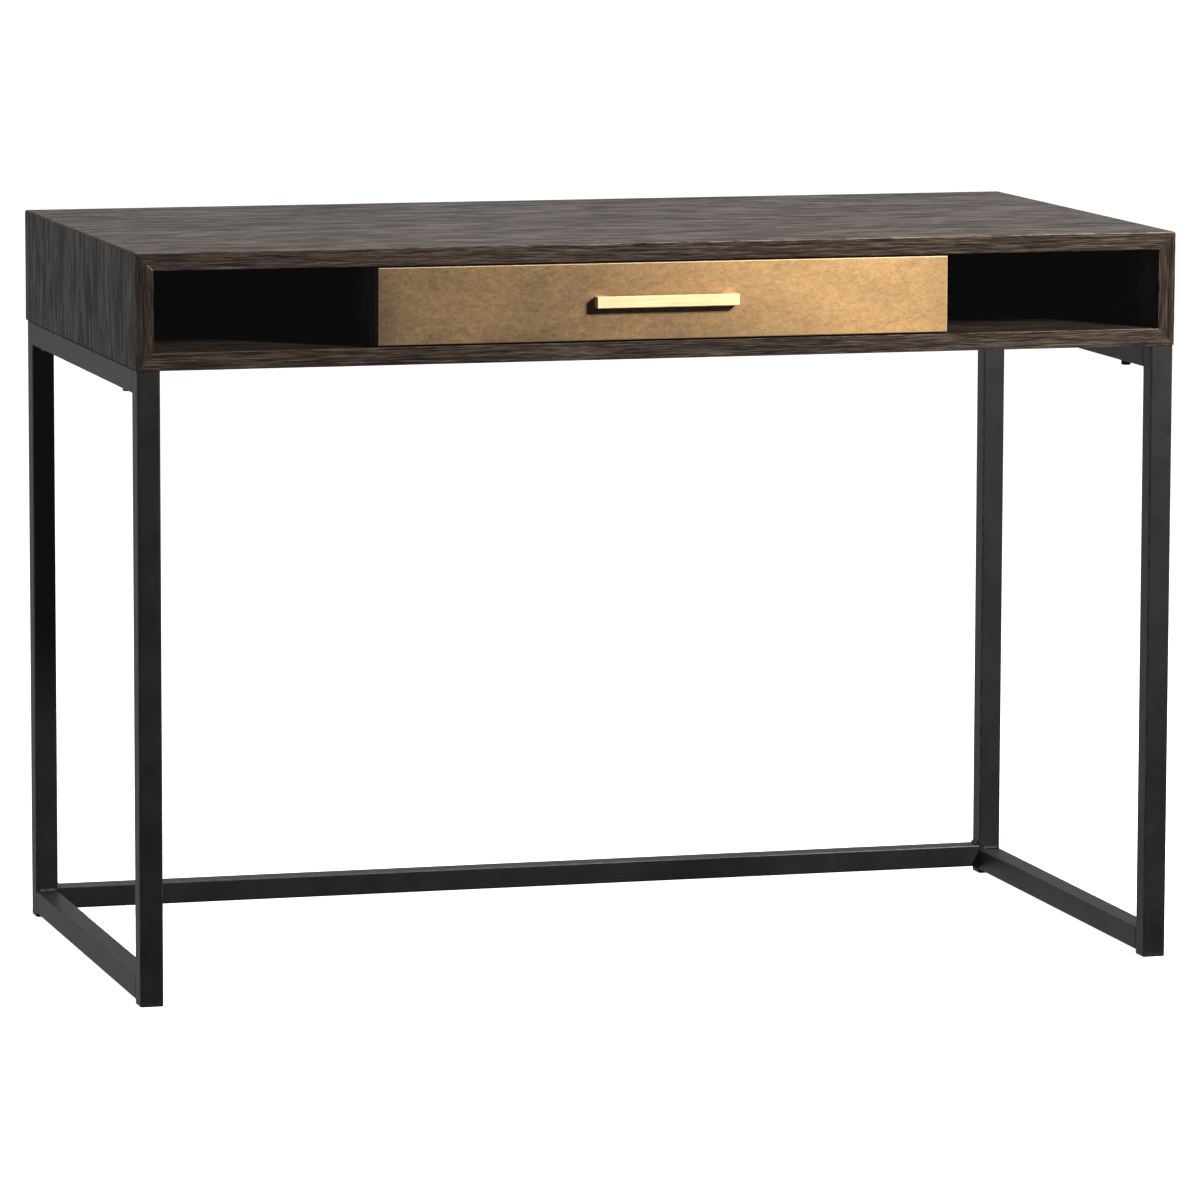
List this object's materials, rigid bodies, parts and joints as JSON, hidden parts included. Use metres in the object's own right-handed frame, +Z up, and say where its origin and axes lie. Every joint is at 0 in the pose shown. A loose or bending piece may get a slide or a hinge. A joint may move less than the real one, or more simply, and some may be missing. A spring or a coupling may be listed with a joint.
{
  "type": "writing desk",
  "caption": "Writing desk: shallow mitred wooden case with a brass-faced drawer between open cubbies, on square-tube side frames joined by a low rear stretcher.",
  "frame": {"origin": "on the floor, at the middle of the desk's bounding box, handle included", "axes": "+X along the width to the sitter's right when facing the drawer, -Y towards the sitter (the drawer opens along -Y), +Z up"},
  "size_m": [1.096, 0.57, 0.76],
  "materials": {
    "dark_oak": "wire-brushed, dark stained oak under matt oil",
    "birch": "clear-lacquered birch",
    "dark_steel": "semi-gloss gunmetal powder coat",
    "black_bolt": "black oxide",
    "black_plastic": "moulded satin black",
    "zinc_steel": "zinc-plated",
    "ball_steel": "polished",
    "patina_brass": "antiqued, mottled sheet",
    "satin_brass": "brushed along its length",
    "rubber_dots": "matt"
  },
  "bodies": {
    "desk": {"back_panel": "dark_oak", "bottom_panel": "dark_oak", "corner_splines": "birch", "divider_dowels": "birch", "frame_bolts": "black_bolt", "frame_washers": "black_bolt", "front_left_glide": "black_plastic", "front_left_leg": "dark_steel", "front_right_glide": "black_plastic", "front_right_leg": "dark_steel", "left_divider": "dark_oak", "left_floor_rail": "dark_steel", "left_side_panel": "dark_oak", "left_slide_outer": "zinc_steel", "left_top_rail": "dark_steel", "rear_left_glide": "black_plastic", "rear_left_leg": "dark_steel", "rear_right_glide": "black_plastic", "rear_right_leg": "dark_steel", "rear_stretcher": "dark_steel", "right_divider": "dark_oak", "right_floor_rail": "dark_steel", "right_side_panel": "dark_oak", "right_slide_outer": "zinc_steel", "right_top_rail": "dark_steel", "slide_case_screws": "zinc_steel", "threaded_inserts": "zinc_steel", "top_panel": "dark_oak", "weld_beads": "dark_steel"},
    "drawer": {"face_skin": "patina_brass", "face_core": "birch", "drawer_bumpers": "rubber_dots", "handle_bar": "satin_brass", "left_handle_post": "satin_brass", "right_handle_post": "satin_brass", "handle_screws": "zinc_steel", "face_screws": "zinc_steel", "drawer_front": "birch", "drawer_back": "birch", "drawer_bottom": "birch", "drawer_left_side": "birch", "drawer_right_side": "birch", "left_slide_inner": "zinc_steel", "right_slide_inner": "zinc_steel", "slide_drawer_screws": "zinc_steel"},
    "left_middle_runner": {"left_slide_middle": "zinc_steel"},
    "left_outer_ball_train": {"left_outer_cage": "zinc_steel", "left_outer_balls": "ball_steel"},
    "left_inner_ball_train": {"left_inner_cage": "zinc_steel", "left_inner_balls": "ball_steel"},
    "right_middle_runner": {"right_slide_middle": "zinc_steel"},
    "right_outer_ball_train": {"right_outer_cage": "zinc_steel", "right_outer_balls": "ball_steel"},
    "right_inner_ball_train": {"right_inner_cage": "zinc_steel", "right_inner_balls": "ball_steel"}
  },
  "joints": [
    {"name": "drawer_slide", "type": "slide", "parent": "desk", "child": "drawer", "axis": [0, -1, 0], "range_m": [0, 0.42]},
    {"name": "left_outer_ball_train_slide", "type": "slide", "parent": "desk", "child": "left_outer_ball_train", "axis": [0, -1, 0], "range_m": [0, 0.105]},
    {"name": "left_middle_runner_slide", "type": "slide", "parent": "desk", "child": "left_middle_runner", "axis": [0, -1, 0], "range_m": [0, 0.21]},
    {"name": "left_inner_ball_train_slide", "type": "slide", "parent": "desk", "child": "left_inner_ball_train", "axis": [0, -1, 0], "range_m": [0, 0.315]},
    {"name": "right_outer_ball_train_slide", "type": "slide", "parent": "desk", "child": "right_outer_ball_train", "axis": [0, -1, 0], "range_m": [0, 0.105]},
    {"name": "right_middle_runner_slide", "type": "slide", "parent": "desk", "child": "right_middle_runner", "axis": [0, -1, 0], "range_m": [0, 0.21]},
    {"name": "right_inner_ball_train_slide", "type": "slide", "parent": "desk", "child": "right_inner_ball_train", "axis": [0, -1, 0], "range_m": [0, 0.315]}
  ],
  "couplings": [
    {"joint": "left_outer_ball_train_slide", "follows": "drawer_slide", "ratio": 0.25},
    {"joint": "left_middle_runner_slide", "follows": "drawer_slide", "ratio": 0.5},
    {"joint": "left_inner_ball_train_slide", "follows": "drawer_slide", "ratio": 0.75},
    {"joint": "right_outer_ball_train_slide", "follows": "drawer_slide", "ratio": 0.25},
    {"joint": "right_middle_runner_slide", "follows": "drawer_slide", "ratio": 0.5},
    {"joint": "right_inner_ball_train_slide", "follows": "drawer_slide", "ratio": 0.75}
  ]
}
